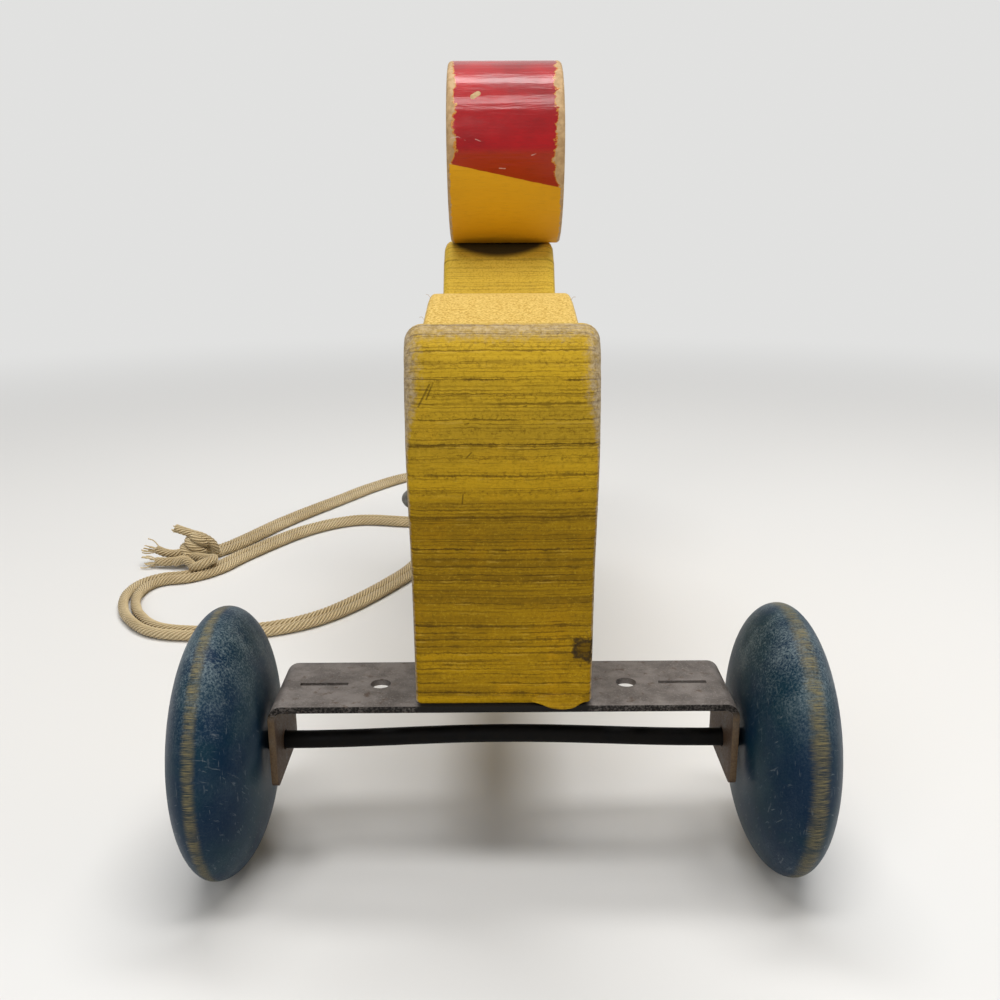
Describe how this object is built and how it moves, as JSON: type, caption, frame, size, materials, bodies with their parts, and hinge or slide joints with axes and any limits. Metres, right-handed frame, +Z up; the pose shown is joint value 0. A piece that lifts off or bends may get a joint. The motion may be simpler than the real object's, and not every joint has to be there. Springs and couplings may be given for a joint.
{
  "type": "duck pull toy",
  "caption": "Old painted wooden duck pull toy: sawn board body, round head that turns on a dowel, bun wheels on bent steel brackets, doubled cord tied in a knot.",
  "frame": {"origin": "on the floor, under the middle of the toy's box without its cord", "axes": "+Y the way the duck faces and rolls, +Z up, +X the duck's right"},
  "size_m": [0.2308, 0.4098, 0.2045],
  "materials": {
    "yellow_paint": "worn yellow paint over saw-marked wood",
    "red_paint": "glossy red paint, chipped to bare wood at the edges",
    "blue_paint": "dusty dark blue paint, worn to wood round the rim",
    "dowel_wood": "bare turned dowel",
    "old_steel": "patinated sheet steel with rusty edges",
    "nail_steel": "dull grey steel",
    "black_iron": "blackened rod",
    "cotton_cord": "twisted cream cotton cord"
  },
  "bodies": {
    "toy_body": {"body": "yellow_paint", "head_peg": "dowel_wood", "rear_bracket": "old_steel", "rear_nail_left": "nail_steel", "rear_nail_right": "nail_steel", "rear_axle": "black_iron", "rear_axle_cap_left": "nail_steel", "rear_axle_cap_right": "nail_steel", "front_bracket": "old_steel", "front_nail_rear": "nail_steel", "front_nail_front": "nail_steel", "front_axle": "black_iron", "front_axle_cap_left": "nail_steel", "front_axle_cap_right": "nail_steel", "screw_eye": "nail_steel", "side_nail": "nail_steel", "pull_cord_left": "cotton_cord", "pull_cord_right": "cotton_cord", "cord_knot": "cotton_cord"},
    "head": {"head": "red_paint"},
    "rear_wheel_left": {"rear_wheel_left": "blue_paint"},
    "rear_wheel_right": {"rear_wheel_right": "blue_paint"},
    "front_wheel": {"front_wheel": "blue_paint"}
  },
  "joints": [
    {"name": "head_turn", "type": "hinge", "parent": "toy_body", "child": "head", "pos_m": [0, 0.077, 0.1412], "axis": [0, 0, 1], "continuous": true},
    {"name": "rear_wheel_left_spin", "type": "hinge", "parent": "toy_body", "child": "rear_wheel_left", "pos_m": [-0.0665, -0.107, 0.032], "axis": [1, 0, 0], "continuous": true},
    {"name": "rear_wheel_right_spin", "type": "hinge", "parent": "toy_body", "child": "rear_wheel_right", "pos_m": [0.0665, -0.107, 0.032], "axis": [1, 0, 0], "continuous": true},
    {"name": "front_wheel_spin", "type": "hinge", "parent": "toy_body", "child": "front_wheel", "pos_m": [0, 0.058, 0.02], "axis": [1, 0, 0], "continuous": true}
  ]
}
